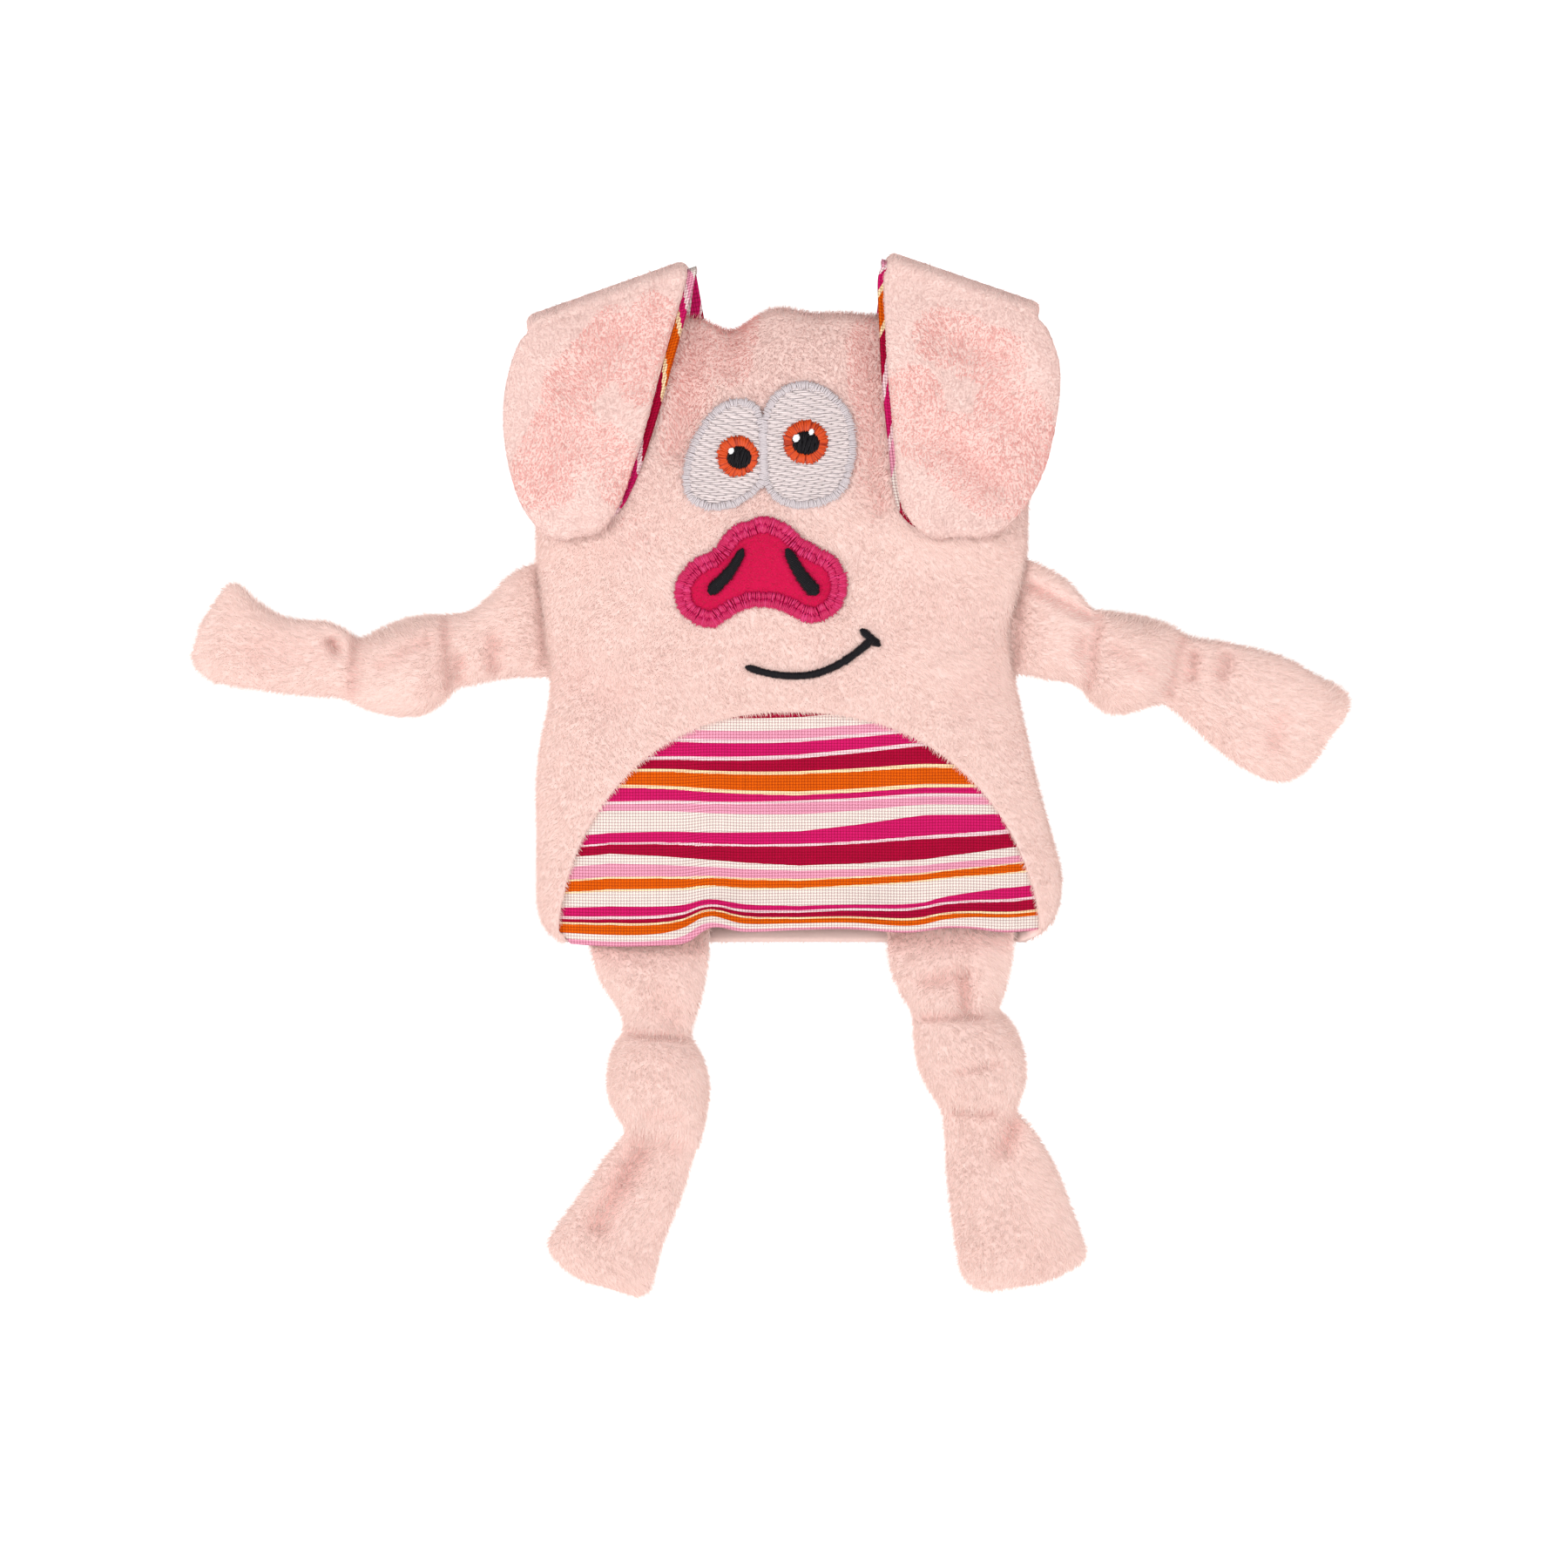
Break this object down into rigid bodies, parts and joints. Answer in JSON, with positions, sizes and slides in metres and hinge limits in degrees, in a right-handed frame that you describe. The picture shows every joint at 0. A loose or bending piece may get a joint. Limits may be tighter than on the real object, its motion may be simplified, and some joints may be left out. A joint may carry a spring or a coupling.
{
  "type": "plush hand puppet",
  "caption": "Flat pink plush pig hand puppet with a striped cotton belly, folded ears, embroidered face and knotted limbs.",
  "frame": {"origin": "in the hand opening, at the level of the hem, under the middle of the head, in the plane where the front and back panels meet less 1 mm", "axes": "+Z from the hem up through the head, -Y out of the face, +X to the right as seen from the front; named parts use left and right as seen from the front"},
  "size_m": [0.2474, 0.0219, 0.2202],
  "materials": {
    "plush": "matte",
    "stripes": "matte",
    "lining": "matte",
    "backing": "matte",
    "white_thread": "satin",
    "orange_thread": "satin",
    "black_thread": "satin",
    "pink_felt": "matte",
    "pink_thread": "satin"
  },
  "bodies": {
    "torso": {"torso_front": "plush", "torso_back": "plush", "belly_panel": "stripes", "torso_front_lining": "lining", "torso_back_lining": "lining", "left_leg_tab": "plush", "right_leg_tab": "plush"},
    "head": {"head_front": "plush", "head_back": "plush", "head_front_lining": "lining", "head_back_lining": "lining", "embroidery_backing": "backing", "left_eye_white": "white_thread", "right_eye_white": "white_thread", "left_iris": "orange_thread", "right_iris": "orange_thread", "left_pupil": "black_thread", "right_pupil": "black_thread", "snout_border": "pink_thread", "snout_patch": "pink_felt", "left_nostril": "black_thread", "right_nostril": "black_thread", "mouth_line": "black_thread", "mouth_corner": "black_thread"},
    "left_ear_base": {"left_ear_root_plush": "plush", "left_ear_root_lining": "stripes"},
    "left_ear_flap": {"left_ear_plush": "plush", "left_ear_lining": "stripes"},
    "right_ear_base": {"right_ear_root_plush": "plush", "right_ear_root_lining": "stripes"},
    "right_ear_flap": {"right_ear_plush": "plush", "right_ear_lining": "stripes"},
    "left_upper_arm": {"left_arm_upper": "plush"},
    "left_arm_knot_body": {"left_arm_knot": "plush"},
    "left_hand_body": {"left_hand": "plush"},
    "right_upper_arm": {"right_arm_upper": "plush"},
    "right_arm_knot_body": {"right_arm_knot": "plush"},
    "right_hand_body": {"right_hand": "plush"},
    "left_upper_leg": {"left_leg_upper": "plush"},
    "left_leg_knot_body": {"left_leg_knot": "plush"},
    "left_foot_body": {"left_foot": "plush"},
    "right_upper_leg": {"right_leg_upper": "plush"},
    "right_leg_knot_body": {"right_leg_knot": "plush"},
    "right_foot_body": {"right_foot": "plush"}
  },
  "joints": [
    {"name": "head_nod", "type": "hinge", "parent": "torso", "child": "head", "pos_m": [0, -0.01165, 0.0506], "axis": [1, 0, 0], "range_deg": [0, 35]},
    {"name": "left_ear_flop", "type": "hinge", "parent": "head", "child": "left_ear_base", "pos_m": [-0.028, 0.0008, 0.1343], "axis": [-1, 0, 0], "range_deg": [0, 60]},
    {"name": "left_ear_unfold", "type": "hinge", "parent": "left_ear_base", "child": "left_ear_flap", "pos_m": [-0.03775, -0.0026, 0.13565], "axis": [-0.9481, 0, -0.318], "range_deg": [0, 150]},
    {"name": "right_ear_flop", "type": "hinge", "parent": "head", "child": "right_ear_base", "pos_m": [0.03, 0.0008, 0.1343], "axis": [-1, 0, 0], "range_deg": [0, 60]},
    {"name": "right_ear_unfold", "type": "hinge", "parent": "right_ear_base", "child": "right_ear_flap", "pos_m": [0.03855, -0.0026, 0.13775], "axis": [-0.9431, 0, 0.3326], "range_deg": [0, 150]},
    {"name": "left_arm_flap", "type": "hinge", "parent": "head", "child": "left_upper_arm", "pos_m": [-0.0533, 0.001, 0.0669], "axis": [-0.1104, 0, 0.9939], "range_deg": [-75, 75]},
    {"name": "left_arm_swing", "type": "hinge", "parent": "left_upper_arm", "child": "left_arm_knot_body", "pos_m": [-0.071, 0.001, 0.06], "axis": [0, 1, 0], "range_deg": [-40, 40]},
    {"name": "left_hand_flap", "type": "hinge", "parent": "left_arm_knot_body", "child": "left_hand_body", "pos_m": [-0.09225, 0.001, 0.0568], "axis": [0, 0, 1], "range_deg": [-60, 60]},
    {"name": "right_arm_flap", "type": "hinge", "parent": "head", "child": "right_upper_arm", "pos_m": [0.0524, 0.001, 0.0675], "axis": [-0.0427, 0, -0.9991], "range_deg": [-75, 75]},
    {"name": "right_arm_swing", "type": "hinge", "parent": "right_upper_arm", "child": "right_arm_knot_body", "pos_m": [0.06465, 0.001, 0.0609], "axis": [0, -1, 0], "range_deg": [-40, 40]},
    {"name": "right_hand_flap", "type": "hinge", "parent": "right_arm_knot_body", "child": "right_hand_body", "pos_m": [0.08345, 0.001, 0.05622], "axis": [-0.3124, 0, -0.95], "range_deg": [-60, 60]},
    {"name": "left_leg_flap", "type": "hinge", "parent": "torso", "child": "left_upper_leg", "pos_m": [-0.0284, -0.0008, -0.005], "axis": [-1, 0, 0], "range_deg": [-65, 65]},
    {"name": "left_leg_swing", "type": "hinge", "parent": "left_upper_leg", "child": "left_leg_knot_body", "pos_m": [-0.027, 0, -0.0216], "axis": [0, 1, 0], "range_deg": [-30, 30]},
    {"name": "left_foot_flap", "type": "hinge", "parent": "left_leg_knot_body", "child": "left_foot_body", "pos_m": [-0.0262, 0, -0.04375], "axis": [-0.9954, 0, 0.0957], "range_deg": [-60, 60]},
    {"name": "right_leg_flap", "type": "hinge", "parent": "torso", "child": "right_upper_leg", "pos_m": [0.0357, -0.0008, -0.0025], "axis": [-1, 0, 0], "range_deg": [-65, 65]},
    {"name": "right_leg_swing", "type": "hinge", "parent": "right_upper_leg", "child": "right_leg_knot_body", "pos_m": [0.037, 0, -0.0168], "axis": [0, -1, 0], "range_deg": [-30, 30]},
    {"name": "right_foot_flap", "type": "hinge", "parent": "right_leg_knot_body", "child": "right_foot_body", "pos_m": [0.04175, 0, -0.03785], "axis": [-1, 0, 0], "range_deg": [-60, 60]}
  ]
}
